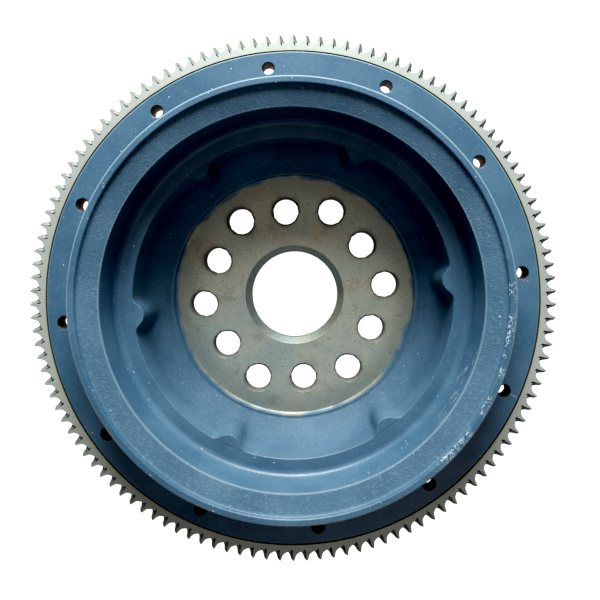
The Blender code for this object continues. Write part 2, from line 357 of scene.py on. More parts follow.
EDGE = 0.0005
PAD_RADIUS = 0.09195
BASE_RADIUS = 0.1171
BACK_RADIUS = 0.1479
SHOULDER_RADIUS = 0.1871
SHOULDER_TOP = 0.052
LIP_RADIUS = 0.1490
CAST_FACE = 0.102
MOUTH_TOP = 0.0975
TIMING_TURN = math.radians(-24)
TIMING_START = 0.1765
CHIPPED_FROM, CHIPPED_TO = math.radians(-46), math.radians(9)
SCUFFED_FROM, SCUFFED_TO = math.radians(-37), math.radians(-19)
PAINTED, BARE_HUB, BARE_HOLE = range(3)


def casting_skin(s):
    """The whole casting as lathe grids and holed flat rings that meet edge to edge."""
    angles = column_angles()
    skin = Skin()
    top = BODY_HIGH.z
    far = np.arange(SECTORS) % 2 == 0
    crank_circle = np.where(far, s.far_circle, s.near_circle)
    flange_circle = np.full(SECTORS, s.flange_circle)

    # Bore, from the back face up to the hub's machined face
    hub_inner = s.bore_radius + s.bore_lead_in + 0.0006
    hub_outer = s.hub_radius - 0.0027
    back_inner = s.bore_radius + 0.0016
    back_outer = PAD_RADIUS - 0.0012
    skin.add(revolve(outline([
        (back_inner, 0, 0),
        (s.bore_radius + 0.001, 0, 0.0003),
        (s.bore_radius, 0.001, 0.0003),
        (s.bore_radius, s.hub_height - s.bore_lead_in, 0.0004),
        (s.bore_radius + s.bore_lead_in, s.hub_height, 0.0003),
        (hub_inner, s.hub_height, 0),
    ]), angles), BARE_HUB)

    # Hub faces and their bolt holes
    chamfer = 0.0013
    front, front_turn = holed_ring(hub_inner, hub_outer, s.hub_height, crank_circle,
                                   s.crank_hole_radius + chamfer)
    back, back_turn = holed_ring(back_inner, back_outer, 0.0, crank_circle,
                                 s.crank_hole_radius + chamfer)
    reach = RING_STEPS[None, :, None] * RING_WIDTH
    skin.add(front, BARE_HUB, reach)
    skin.add(back, BARE_HUB, reach)
    wall = outline([
        (s.crank_hole_radius + chamfer, s.hub_height, 0),
        (s.crank_hole_radius, s.hub_height - chamfer, 0.0003),
        (s.crank_hole_radius, chamfer, 0.0003),
        (s.crank_hole_radius + chamfer, 0, 0),
    ])
    skin.add(hole_walls(crank_circle, wall, front_turn, back_turn), BARE_HOLE, 0.0)

    # Machined recess, floor band, flare and bowl wall with its bosses, up to the ledge
    recess = outline([
        (hub_outer, s.hub_height, 0),
        (s.hub_radius, s.hub_height, 0.0025),
        (s.hub_radius, s.floor_height, 0.0005),
        (s.hub_radius + 0.0016, s.floor_height, 0),
    ])
    skin.add(revolve(recess, angles), BARE_HUB)
    edge = 0.0009
    bowl = outline([
        (s.hub_radius + 0.0016, s.floor_height, 0),
        (s.hub_radius + 0.0028, s.floor_height, 0.0012),
        (s.bowl_radius - 0.0016, s.floor_height + 0.0155, 0.026),
        (s.bowl_radius, s.ledge_height - edge, 0),
    ])
    depth = np.linspace(0, 1, 9)[1:-1, None]
    bowl = np.concatenate([bowl[:-2], bowl[-2] * (1 - depth) + bowl[-1] * depth, bowl[-1:]])
    radii = bossed_radius(bowl[:, :1], bowl[:, 1:], angles, s)
    skin.add(revolve((radii, bowl[:, 1:]), angles), PAINTED)
    lift = np.linspace(0, math.pi / 2, 5)[:, None]
    lip = radii[-1:] + edge * (1 - np.cos(lift))
    skin.add(revolve((lip, s.ledge_height - edge * (1 - np.sin(lift))), angles), PAINTED)
    ledge_end = s.ledge_radius - 0.0055
    share = np.array([0, 0.04, 0.3, 0.7, 0.96, 1])[:, None]
    across = lip[-1:] * (1 - share) + ledge_end * share
    skin.add(revolve((across, np.full_like(share, s.ledge_height)), angles), PAINTED)

    # Mouth of the raised ring, its cast face, lip, outer wall and foot
    flange_inner = s.ring_radius + 0.0026
    skin.add(revolve(outline([
        (ledge_end, s.ledge_height, 0),
        (s.ledge_radius, s.ledge_height, 0.005),
        (s.mouth_radius, MOUTH_TOP, 0.0008),
        (LIP_RADIUS, CAST_FACE, 0.0027),
        (LIP_RADIUS, top, 0.0013),
        (s.ring_radius - 0.001, top, 0.0003),
        (s.ring_radius, top - 0.001, 0.0004),
        (s.ring_radius, s.flange_face, 0.002),
        (flange_inner, s.flange_face, 0),
    ]), angles), PAINTED)

    # Flange faces and holes, rim and shoulder
    flange_outer = s.rim_radius - 0.0016
    back_end = SHOULDER_RADIUS - 0.0012
    back_start = BACK_RADIUS + 0.0065
    front, front_turn = holed_ring(flange_inner, flange_outer, s.flange_face, flange_circle,
                                   s.flange_hole_radius + EDGE)
    back, back_turn = holed_ring(back_start, back_end, s.flange_back, flange_circle,
                                 s.flange_hole_radius + EDGE)
    skin.add(front, PAINTED, reach)
    skin.add(back, PAINTED, reach)
    wall = outline([
        (s.flange_hole_radius + EDGE, s.flange_face, 0),
        (s.flange_hole_radius, s.flange_face - EDGE, 0.0002),
        (s.flange_hole_radius, s.flange_back + EDGE, 0.0002),
        (s.flange_hole_radius + EDGE, s.flange_back, 0),
    ])
    skin.add(hole_walls(flange_circle, wall, front_turn, back_turn), BARE_HOLE, 0.0)
    skin.add(revolve(outline([
        (flange_outer, s.flange_face, 0),
        (s.rim_radius - 0.0008, s.flange_face, 0.0003),
        (s.rim_radius, s.flange_face - 0.0008, 0.0003),
        (s.rim_radius, SHOULDER_TOP, 0.0003),
        (SHOULDER_RADIUS, SHOULDER_TOP, 0.0004),
        (SHOULDER_RADIUS, s.flange_back, 0.0006),
        (back_end, s.flange_back, 0),
    ]), angles), PAINTED)

    # Cast back and the pad that seats on the crankshaft
    skin.add(revolve(outline([
        (back_start, s.flange_back, 0),
        (BACK_RADIUS, s.flange_back, 0.008),
        (BASE_RADIUS, 0.002, 0.012),
        (PAD_RADIUS, 0.002, 0.0006),
        (PAD_RADIUS, 0, 0.0005),
        (back_outer, 0, 0),
    ]), angles), PAINTED)
    return skin


# The ring gear. The first three are the parts of half a tooth's width.

TOOTH_TIP = 0.00125
TOOTH_FLANK = 0.0018
TOOTH_FOOT = 0.0014
BEVEL_SLANT = 0.0004
DIP_START = 0.16
DIP_REACH = 0.64
DIP_RISE = 0.25
GEAR_EDGE = 0.00035
BORE_CHAMFER = 0.0010


def tooth_profile(s):
    """(radius, angle) round one pitch, from gap middle to gap middle, behind and at the face.

    h is the height up the tooth from 0 at the root to 1 at the tip. Half its width is
    tip + flank * (1 - h) + foot * (1 - h) to the eighth power, so that the flanks are nearly
    straight and end in a fillet. At the face the bevel has cut the clockwise flank back past
    the tooth's middle: its edge runs in along a line that slants a little, turns along the
    bottom of the bevel's dip and climbs back to the root.
    """
    pitch = math.tau / s.teeth
    h = np.array([0, 0.07, 0.16, 0.3, 0.5, 0.75, 0.97, 1.0])
    half = TOOTH_TIP + TOOTH_FLANK * (1 - h) + TOOTH_FOOT * (1 - h) ** 8
    half[-1] -= 0.0002
    radius = s.root + (GEAR_HIGH.x - s.root) * h
    radii = np.concatenate([[s.root], radius, radius[::-1]])
    turns = np.concatenate([[-pitch / 2], -half / radius, half[::-1] / radius[::-1]])

    climb = np.clip(1 - h / DIP_START, 0, 1)
    line = BEVEL_SLANT * (1 - h) - s.bevel_line
    across = line + DIP_REACH * (half - line) * climb
    front = np.where(h > DIP_START, radius, s.root - s.bevel_dip * (1 - DIP_RISE * climb))
    front_radii = np.concatenate([[s.root - 0.0004], front, radius[::-1]])
    front_turns = np.concatenate([[-pitch / 2], -across / front, half[::-1] / radius[::-1]])
    return radii, turns, front_radii, front_turns


def gear_skin(s):
    """The gear as one closed grid: round its teeth at several levels, and back down its bore."""
    pitch = math.tau / s.teeth
    radii, turns, front_radii, front_turns = tooth_profile(s)
    starts = s.turn + np.arange(s.teeth) * pitch
    around = (starts[:, None] + turns).ravel()
    front_around = (starts[:, None] + front_turns).ravel()
    full = np.tile(radii, s.teeth)
    front = np.tile(front_radii, s.teeth)
    low, high = GEAR_LOW.z, GEAR_HIGH.z
    edge = GEAR_EDGE

    def level(radius, angle, height):
        return np.stack([radius * np.cos(angle), radius * np.sin(angle),
                         np.full_like(angle, height)], axis=-1)

    seat = np.full_like(full, s.bore)
    rows = [
        level(seat, around, low + edge),
        level(seat + edge, around, low),
        level(full - edge, around, low),
        level(full, around, low + edge),
        level(full, around, high - s.bevel_length),
        level(front, front_around, high - edge),
        level(front - edge, front_around, high),
        level(np.full_like(full, s.root - 0.0030), (front_around + around) / 2, high),
        level(seat + BORE_CHAMFER + SUPPORT, around, high),
        level(seat + BORE_CHAMFER, around, high),
        level(seat, around, high - BORE_CHAMFER),
        level(seat, around, low + edge),
    ]
    skin = Skin()
    skin.add(np.stack(rows))
    return skin


# Node groups and materials

DARK_PAINT = (0.014, 0.03, 0.05, 1)
PALE_PAINT = (0.35, 0.45, 0.52, 1)
GRAIN_TOP = (0.20, 0.27, 0.32, 1)
DUST = (0.50, 0.60, 0.66, 1)
# Pale blue that edges are lightened to as painted highlights
EDGE_HIGHLIGHT_TONE = (0.50, 0.66, 0.75, 1)
BARED_METAL = (0.60, 0.70, 0.76, 1)
# Bluish tint painted as light on the key-lit side of the bare iron
LIT_SIDE_TINT = (0.34, 0.46, 0.48, 1)
COOL_IRON = (0.20, 0.27, 0.26, 1)
WARM_IRON = (0.50, 0.40, 0.24, 1)
IRON_SAND = (0.16, 0.15, 0.12, 1)
IRON_SHINE = (0.75, 0.74, 0.66, 1)
PIT = (0.05, 0.045, 0.035, 1)
# Painted shade for the bore's lead-in cone
CONE_SHADE_IRON = (0.07, 0.065, 0.05, 1)
# Painted shade for the hub face near the recess wall
RECESS_SHADE_IRON = (0.13, 0.14, 0.12, 1)
# Painted shade with oil stain for the drilled walls; the black is painted shade in the flange
# holes
SHADE_AND_OLD_OIL = (0.03, 0.02, 0.014, 1)
SHADE_AND_OIL_STAIN = (0.085, 0.06, 0.04, 1)
HOLE_SHADE_BLACK = (0.022, 0.013, 0.008, 1)
COPPER = (0.42, 0.16, 0.06, 1)
DULL_STEEL = (0.30, 0.31, 0.27, 1)
YELLOWED_STEEL = (0.40, 0.34, 0.17, 1)
FIT_LINE = (0.02, 0.016, 0.012, 1)
ROOT_OIL = (0.12, 0.085, 0.05, 1)
# Painted shade on the gear's bevels
BEVEL_SHADE = (0.10, 0.08, 0.055, 1)
STEEL_PIT = (0.16, 0.13, 0.09, 1)
FLOOR_SHADE = (0.42, 0.42, 0.42, 1)


def group_tree(name, inputs, outputs):
    """A new shader node group with float or colour sockets, given as (name, kind, default)."""
    tree = bpy.data.node_groups.new(name, "ShaderNodeTree")
    for direction, sockets in (("INPUT", inputs), ("OUTPUT", outputs)):
        for label, kind, default in sockets:
            socket = tree.interface.new_socket(label, in_out=direction,
                                               socket_type="NodeSocket" + kind)
            if default is not None:
                socket.default_value = default
    return tree, tree.nodes.new("NodeGroupInput"), tree.nodes.new("NodeGroupOutput")


def feed(tree, socket, value):
    """Sets a socket to a constant, or links another socket to it."""
    if isinstance(value, bpy.types.NodeSocket):
        tree.links.new(value, socket)
    elif value is not None:
        socket.default_value = value


def maths(tree, operation, *values, clamp=False):
    """The result of a Math node on values that may be numbers or sockets."""
    node = tree.nodes.new("ShaderNodeMath")
    node.operation = operation
    node.use_clamp = clamp
    for socket, value in zip(node.inputs, values):
        feed(tree, socket, value)
    return node.outputs[0]


def times(tree, first, second):
    """first * second, each a number or a socket."""
    return maths(tree, "MULTIPLY", first, second)


def plus(tree, first, second, clamp=False):
    """first + second, each a number or a socket."""
    return maths(tree, "ADD", first, second, clamp=clamp)


def rest(tree, mask):
    """What a mask leaves: 1 - mask."""
    return maths(tree, "SUBTRACT", 1.0, mask)


def between(tree, value, low, high, soft):
    """A mask that is 1 where value lies between low and high, with edges soft wide."""
    rise = ramp(tree, value, maths(tree, "SUBTRACT", low, soft), low)
    fall = ramp(tree, value, high, plus(tree, high, soft))
    return times(tree, rise, rest(tree, fall))


def ramp(tree, value, start, end):
    """Goes smoothly from 0 at start to 1 at end."""
    node = tree.nodes.new("ShaderNodeMapRange")
    node.interpolation_type = "SMOOTHSTEP"
    for socket, item in zip(node.inputs, (value, start, end, 0.0, 1.0)):
        feed(tree, socket, item)
    return node.outputs[0]


def blend(tree, share, first, second):
    """A colour that goes from first to second as share goes from 0 to 1."""
    node = tree.nodes.new("ShaderNodeMix")
    node.data_type = "RGBA"
    feed(tree, node.inputs["Factor"], share)
    feed(tree, node.inputs["A"], first)
    feed(tree, node.inputs["B"], second)
    return node.outputs["Result"]


def noise(tree, vector, scale, detail=3.0, roughness=0.55):
    """Smooth noise from 0 to 1, with about scale bumps to the metre."""
    node = tree.nodes.new("ShaderNodeTexNoise")
    feed(tree, node.inputs["Vector"], vector)
    feed(tree, node.inputs["Scale"], scale)
    node.inputs["Detail"].default_value = detail
    node.inputs["Roughness"].default_value = roughness
    return node.outputs["Fac"]


def place_group():
    """Where a point is on the flywheel: its radius, height and angle about the axis."""
    tree, _, out = group_tree("Place on the wheel", [], [
        ("Point", "Vector", None), ("Radius", "Float", None), ("Height", "Float", None),
        ("Turn", "Float", None)])
    point = tree.nodes.new("ShaderNodeTexCoord").outputs["Object"]
    split = tree.nodes.new("ShaderNodeSeparateXYZ")
    feed(tree, split.inputs[0], point)
    x, y, z = split.outputs
    square = plus(tree, times(tree, x, x), times(tree, y, y))
    feed(tree, out.inputs["Point"], point)
    feed(tree, out.inputs["Radius"], maths(tree, "SQRT", square))
    feed(tree, out.inputs["Height"], z)
    feed(tree, out.inputs["Turn"], maths(tree, "ARCTAN2", y, x))
    return tree


def specks_group():
    """Sparse specks of uneven sizes: 1 inside those cells that the share picks out."""
    tree, inputs, out = group_tree("Specks", [
        ("Point", "Vector", None), ("Cells per metre", "Float", 300.0),
        ("Share", "Float", 0.02), ("Size", "Float", 0.25)], [("Mask", "Float", None)])
    cells = tree.nodes.new("ShaderNodeTexVoronoi")
    feed(tree, cells.inputs["Vector"], inputs.outputs["Point"])
    feed(tree, cells.inputs["Scale"], inputs.outputs["Cells per metre"])
    split = tree.nodes.new("ShaderNodeSeparateColor")
    feed(tree, split.inputs[0], cells.outputs["Color"])
    chosen = maths(tree, "LESS_THAN", split.outputs[0], inputs.outputs["Share"])
    size = times(tree, inputs.outputs["Size"], plus(tree, 0.4, split.outputs[1]))
    inside = maths(tree, "SUBTRACT", 1.0,
                   ramp(tree, cells.outputs["Distance"], times(tree, size, 0.6), size))
    feed(tree, out.inputs["Mask"], times(tree, chosen, inside))
    return tree


def turned_lines_group():
    """Fine concentric tool marks: noise that changes with the radius only."""
    tree, inputs, out = group_tree("Turned lines", [
        ("Radius", "Float", 0.0), ("Lines per metre", "Float", 2500.0)],
        [("Height", "Float", None)])
    node = tree.nodes.new("ShaderNodeTexNoise")
    node.noise_dimensions = "1D"
    feed(tree, node.inputs["W"], inputs.outputs["Radius"])
    feed(tree, node.inputs["Scale"], inputs.outputs["Lines per metre"])
    node.inputs["Detail"].default_value = 2.0
    feed(tree, out.inputs["Height"], node.outputs["Fac"])
    return tree


def paint_group():
    """Sprayed paint: its colour with drifts and dust, its roughness, and its grain's height.

    Cast is 1 where the metal below is rough as cast, which roughens the film as well.
    """
    tree, inputs, out = group_tree("Sprayed paint", [
        ("Point", "Vector", None), ("Paint", "Color", (*PAINT, 1)), ("Cast", "Float", 0.0)],
        [("Colour", "Color", None), ("Roughness", "Float", None), ("Grain", "Float", None)])
    point, paint, cast = (inputs.outputs[label] for label in ("Point", "Paint", "Cast"))
    drift = noise(tree, point, 22.0, 4.0)
    mottle = noise(tree, point, 420.0, 3.0, 0.7)
    darker = blend(tree, 0.18, paint, DARK_PAINT)
    lighter = blend(tree, 0.05, paint, PALE_PAINT)
    tone = blend(tree, ramp(tree, drift, 0.35, 0.68), darker, lighter)
    fleck = times(tree, ramp(tree, mottle, 0.5, 0.72), plus(tree, 0.14, times(tree, cast, 0.10)))
    tone = blend(tree, fleck, tone, GRAIN_TOP)
    dust = use_group(tree, specks_group, Point=point, Cells_per_metre=280.0, Share=0.10,
                     Size=0.14)["Mask"]
    tone = blend(tree, times(tree, dust, 0.65), tone, DUST)
    feed(tree, out.inputs["Colour"], tone)
    wide = noise(tree, point, 60.0, 2.0)
    rough = plus(tree, times(tree, wide, 0.16), plus(tree, 0.27, times(tree, cast, 0.30)))
    feed(tree, out.inputs["Roughness"], rough)
    peel = times(tree, noise(tree, point, 900.0, 1.0), 0.35)
    coarse = times(tree, noise(tree, point, 780.0, 3.0, 0.6), times(tree, cast, 1.5))
    feed(tree, out.inputs["Grain"], plus(tree, peel, coarse))
    return tree


def bare_iron_group():
    """Machined iron: warm grey with blotches, brown bloom near the holes and pits, and painted
    bluish light towards -Y.

    Gap is the distance from the nearest hole's edge, and Lines the tool marks' height.
    """
    tree, inputs, out = group_tree("Bare iron", [
        ("Point", "Vector", None), ("Iron", "Color", (*BARE_IRON, 1)),
        ("Rust", "Color", (*RUST, 1)), ("Gap", "Float", 1.0), ("Lines", "Float", 0.5)],
        [("Colour", "Color", None), ("Roughness", "Float", None), ("Grain", "Float", None)])
    point, iron, rust, gap, lines = (inputs.outputs[label] for label in (
        "Point", "Iron", "Rust", "Gap", "Lines"))
    cloud = noise(tree, point, 38.0, 5.0, 0.65)
    fine = noise(tree, point, 900.0, 2.0)
    split = tree.nodes.new("ShaderNodeSeparateXYZ")
    feed(tree, split.inputs[0], point)
    # Painted light: the iron turns bluer towards -Y, where the key light falls on the hub
    lit_side = ramp(tree, split.outputs[1], 0.06, -0.06)
    iron = blend(tree, times(tree, lit_side, 0.6), iron, LIT_SIDE_TINT)
    cool = blend(tree, 0.35, iron, COOL_IRON)
    warm = blend(tree, 0.35, iron, WARM_IRON)
    tone = blend(tree, ramp(tree, cloud, 0.36, 0.64), cool, warm)
    near = rest(tree, ramp(tree, gap, 0.0, 0.0028))
    bloom = times(tree, near, ramp(tree, noise(tree, point, 90.0, 4.0), 0.3, 0.6))
    tone = blend(tree, times(tree, bloom, 0.24), tone, rust)
    patches = ramp(tree, noise(tree, point, 48.0, 5.0, 0.7), 0.52, 0.72)
    tone = blend(tree, times(tree, patches, 0.38), tone, rust)
    pits = use_group(tree, specks_group, Point=point, Cells_per_metre=520.0, Share=0.15,
                     Size=0.30)["Mask"]
    tone = blend(tree, times(tree, pits, 0.7), tone, PIT)
    sand = ramp(tree, fine, 0.35, 0.65)
    tone = blend(tree, times(tree, sand, 0.25), tone, IRON_SAND)
    # Painted sheen: the turned lines lighten the colour towards a pale shine
    streak = times(tree, maths(tree, "SUBTRACT", lines, 0.5), 0.35)
    tone = blend(tree, maths(tree, "ABSOLUTE", streak), tone, IRON_SHINE)
    feed(tree, out.inputs["Colour"], tone)
    rough = plus(tree, 0.40, times(tree, cloud, 0.20))
    feed(tree, out.inputs["Roughness"], plus(tree, rough, times(tree, bloom, 0.2)))
    feed(tree, out.inputs["Grain"], plus(tree, times(tree, lines, 0.8), times(tree, fine, 0.3)))
    return tree


SHARED = {}


def shared_group(make):
    """The node group that make builds, built once and used again after that."""
    name = make.__name__
    if name not in SHARED:
        SHARED[name] = make()
    return SHARED[name]


def use_group(tree, make, **values):
    """Places a shared group in a tree with its own values, and gives its outputs."""
    node = tree.nodes.new("ShaderNodeGroup")
    node.node_tree = shared_group(make)
    for label, value in values.items():
        feed(tree, node.inputs[label.replace("_", " ")], value)
    return node.outputs


def surface(name):
    """A new material and its tree, with its Principled shader."""
    material = bpy.data.materials.new(name)
    material.use_nodes = True
    tree = material.node_tree
    return material, tree, tree.nodes["Principled BSDF"]


def bump(tree, shader, height, distance):
    """Gives the shader a bump that stands up to distance metres high."""
    node = tree.nodes.new("ShaderNodeBump")
    node.inputs["Distance"].default_value = distance
    feed(tree, node.inputs["Height"], height)
    feed(tree, shader.inputs["Normal"], node.outputs[0])


def blue_paint_material(s):
    """Sprayed blue over the casting, rubbed through along the raised ring's edges, with painted
    highlights along the ring's, the mouth's and the rim's edges.
    """
    material, tree, shader = surface("blue_paint")
    place = use_group(tree, place_group)
    radius, height, turn = (place[label] for label in ("Radius", "Height", "Turn"))
    face = between(tree, radius, s.mouth_radius + 0.0006, LIP_RADIUS - 0.001, 0.0008)
    face = times(tree, face, maths(tree, "GREATER_THAN", height, MOUTH_TOP - 0.0006))
    walls = between(tree, radius, s.hub_radius + 0.001, s.bowl_radius - 0.001, 0.001)
    walls = times(tree, walls, 0.7)
    back = maths(tree, "LESS_THAN", height, s.flange_back - 0.0005)
    cast = maths(tree, "MAXIMUM", maths(tree, "MAXIMUM", face, walls), back)
    paint = use_group(tree, paint_group, Point=place["Point"], Paint=(*s.paint, 1), Cast=cast)

    top = BODY_HIGH.z
    land = maths(tree, "GREATER_THAN", height, top - 0.0016)
    lip_edge = between(tree, radius, LIP_RADIUS - 0.001, LIP_RADIUS + 0.0012, 0.0004)
    ring_edge = between(tree, radius, s.ring_radius - 0.0010, s.ring_radius + 0.0006, 0.0003)
    mouth_edge = between(tree, radius, s.mouth_radius - 0.0004, s.mouth_radius + 0.0008, 0.0004)
    mouth_edge = times(tree, mouth_edge, maths(tree, "GREATER_THAN", height, MOUTH_TOP - 0.0012))
    rim_edge = between(tree, radius, s.rim_radius - 0.0009, s.rim_radius - 0.0002, 0.0003)
    rim_edge = times(tree, rim_edge, maths(tree, "GREATER_THAN", height, s.flange_face - 0.0008))
    # Painted highlight: the ring's outer edge on the land, the mouth's top edge and the rim's
    # edge are lightened all round towards a pale blue
    edge_highlight = plus(tree, times(tree, times(tree, land, ring_edge), 0.20),
                times(tree, plus(tree, mouth_edge, rim_edge), 0.12))
    highlit_paint = blend(tree, edge_highlight, paint["Colour"], EDGE_HIGHLIGHT_TONE)

    # Paint knocked off the raised ring's edges on one side, and a scuffed stretch of the mouth
    field = noise(tree, place["Point"], 260.0, 3.0, 0.6)
    wriggle = maths(tree, "ABSOLUTE", maths(tree, "SUBTRACT", field, 0.5))
    scrape = rest(tree, ramp(tree, wriggle, 0.012, 0.035))
    patchy = ramp(tree, noise(tree, place["Point"], 60.0, 2.0), 0.46, 0.54)
    knocked = between(tree, turn, CHIPPED_FROM, CHIPPED_TO, 0.06)
    edges = times(tree, land, plus(tree, lip_edge, times(tree, land, 0.35), clamp=True))
    chips = times(tree, times(tree, scrape, patchy), times(tree, knocked, edges))
    stretched = tree.nodes.new("ShaderNodeCombineXYZ")
    feed(tree, stretched.inputs[0], times(tree, turn, 14.0))
    feed(tree, stretched.inputs[1], times(tree, height, 420.0))
    streaks = ramp(tree, noise(tree, stretched.outputs[0], 1.0, 4.0, 0.65), 0.54, 0.70)
    rubbed = times(tree, between(tree, turn, SCUFFED_FROM, SCUFFED_TO, 0.1),
                   between(tree, height, s.ledge_height + 0.007, MOUTH_TOP - 0.003, 0.003))
    scuffs = times(tree, times(tree, streaks, rubbed), 0.45)

    # One plain timing line across the flange's outer edge
    line = times(tree, between(tree, turn, TIMING_TURN - 0.0012, TIMING_TURN + 0.0012, 0.0006),
                 between(tree, radius, TIMING_START, s.rim_radius, 0.0006))
    line = times(tree, times(tree, line, 0.35),
                 maths(tree, "GREATER_THAN", height, s.flange_face - 0.001))
    bare = maths(tree, "MAXIMUM", chips, maths(tree, "MAXIMUM", scuffs, line))
    colour = blend(tree, bare, highlit_paint, BARED_METAL)
    feed(tree, shader.inputs["Base Color"], colour)
    feed(tree, shader.inputs["Roughness"], paint["Roughness"])
    feed(tree, shader.inputs["Metallic"], times(tree, bare, 0.35))
    shader.inputs["Specular IOR Level"].default_value = 0.36
    bump(tree, shader, paint["Grain"], 0.00022)
    return material


def bare_hub_material(s):
    """Machined hub face and bore, with paint drifted over the recess's outer edge, and painted
    shade in the bore's lead-in and towards the recess wall.
    """
    material, tree, shader = surface("bare_hub_iron")
    place = use_group(tree, place_group)
    point, radius = place["Point"], place["Radius"]
    gap = tree.nodes.new("ShaderNodeAttribute")
    gap.attribute_name = "hole_gap"
    lines = use_group(tree, turned_lines_group, Radius=radius, Lines_per_metre=2600.0)["Height"]
    iron = use_group(tree, bare_iron_group, Point=point, Iron=(*s.bare_iron, 1),
                     Rust=(*s.rust, 1), Gap=gap.outputs["Fac"], Lines=lines)
    paint = use_group(tree, paint_group, Point=point, Paint=(*s.paint, 1), Cast=0.0)
    wander = times(tree, maths(tree, "SUBTRACT", noise(tree, point, 55.0, 2.0, 0.5), 0.5), 0.011)
    missed = between(tree, place["Turn"], math.radians(-130), math.radians(-55), 0.5)
    reach = maths(tree, "SUBTRACT", plus(tree, radius, wander), times(tree, missed, 0.0020))
    mist = times(tree, maths(tree, "SUBTRACT", noise(tree, point, 1500.0, 2.0), 0.5), 0.004)
    drift = ramp(tree, plus(tree, reach, mist), s.hub_radius - 0.0045, s.hub_radius - 0.0005)
    # Painted shade: the bore's lead-in cone is darkened all round
    cone_shade = between(tree, radius, s.bore_radius - 0.001, s.bore_radius + s.bore_lead_in - 0.0002,
                    0.0002)
    iron_tone = blend(tree, times(tree, cone_shade, 0.22), iron["Colour"], CONE_SHADE_IRON)
    # Painted shade: the hub face darkens from the far bolt circle out towards the recess wall
    recess_shade = ramp(tree, radius, s.far_circle, s.hub_radius - 0.006)
    iron_tone = blend(tree, times(tree, recess_shade, 0.40), iron_tone, RECESS_SHADE_IRON)
    feed(tree, shader.inputs["Base Color"], blend(tree, drift, iron_tone, paint["Colour"]))
    rough = tree.nodes.new("ShaderNodeMix")
    feed(tree, rough.inputs["Factor"], drift)
    feed(tree, rough.inputs["A"], iron["Roughness"])
    feed(tree, rough.inputs["B"], paint["Roughness"])
    feed(tree, shader.inputs["Roughness"], rough.outputs["Result"])
    bared = rest(tree, drift)
    feed(tree, shader.inputs["Metallic"], times(tree, bared, 0.75))
    bump(tree, shader, times(tree, iron["Grain"], bared), 0.00006)
    return material


def hole_wall_material(s):
    """Drilled walls, darkened with painted shade and oil stains, black with painted shade in the
    flange holes and copper brown near their backs.
    """
    material, tree, shader = surface("drilled_walls")
    place = use_group(tree, place_group)
    point = place["Point"]
    iron = use_group(tree, bare_iron_group, Point=point, Iron=(*s.bare_iron, 1),
                     Rust=(*s.rust, 1), Gap=0.0, Lines=0.5)
    # Painted shade with oil stains: the crank holes' walls are darkened towards a blotchy dark
    # brown
    stain = ramp(tree, noise(tree, point, 150.0, 4.0), 0.35, 0.65)
    oil_and_shade = blend(tree, stain, SHADE_AND_OIL_STAIN, SHADE_AND_OLD_OIL)
    small = maths(tree, "GREATER_THAN", place["Radius"], s.ring_radius)
    deep = rest(tree, ramp(tree, place["Height"], s.flange_back + 0.003, s.flange_back + 0.008))
    # Painted shade: the flange holes' walls are black except near their backs
    copper = blend(tree, deep, HOLE_SHADE_BLACK, COPPER)
    hub_wall = blend(tree, 0.62, iron["Colour"], oil_and_shade)
    feed(tree, shader.inputs["Base Color"], blend(tree, small, hub_wall, copper))
    feed(tree, shader.inputs["Roughness"], iron["Roughness"])
    shader.inputs["Metallic"].default_value = 0.1
    shader.inputs["Specular IOR Level"].default_value = 0.3
    bump(tree, shader, iron["Grain"], 0.00008)
    return material


def gear_steel_material(s):
    """Hobbed steel: greenish grey, with a yellowed inner edge and painted shade on the bevels."""
    material, tree, shader = surface("gear_steel")
    place = use_group(tree, place_group)
    point, radius = place["Point"], place["Radius"]
    lines = use_group(tree, turned_lines_group, Radius=radius, Lines_per_metre=3200.0)["Height"]
    cloud = noise(tree, point, 70.0, 5.0, 0.65)
    steel = (*s.steel, 1)
    tone = blend(tree, ramp(tree, cloud, 0.35, 0.66), blend(tree, 0.22, steel, DULL_STEEL), steel)
    yellow = rest(tree, ramp(tree, radius, s.bore + 0.0010, s.bore + 0.0034))
    tone = blend(tree, times(tree, yellow, 0.45), tone, YELLOWED_STEEL)
    fit_line = rest(tree, ramp(tree, radius, s.bore + 0.0008, s.bore + 0.0012))
    tone = blend(tree, times(tree, fit_line, 0.93), tone, FIT_LINE)
    oil = times(tree, ramp(tree, noise(tree, point, 210.0, 3.0), 0.50, 0.72),
                ramp(tree, radius, s.root - 0.001, s.root + 0.002))
    tone = blend(tree, times(tree, oil, 0.45), tone, ROOT_OIL)
    # Painted shade: the bevel faces below the gear's face are darkened
    bevel_shade = times(tree, ramp(tree, radius, s.root - 0.0030, s.root - 0.0022),
                rest(tree, ramp(tree, place["Height"], GEAR_HIGH.z - 0.00042,
                                GEAR_HIGH.z - 0.00028)))
    tone = blend(tree, times(tree, bevel_shade, 0.50), tone, BEVEL_SHADE)
    pits = use_group(tree, specks_group, Point=point, Cells_per_metre=600.0, Share=0.05,
                     Size=0.3)["Mask"]
    tone = blend(tree, times(tree, pits, 0.4), tone, STEEL_PIT)
    feed(tree, shader.inputs["Base Color"], tone)
    feed(tree, shader.inputs["Roughness"], plus(tree, 0.45, times(tree, cloud, 0.2)))
    shader.inputs["Metallic"].default_value = 0.45
    bump(tree, shader, lines, 0.00005)
    return material


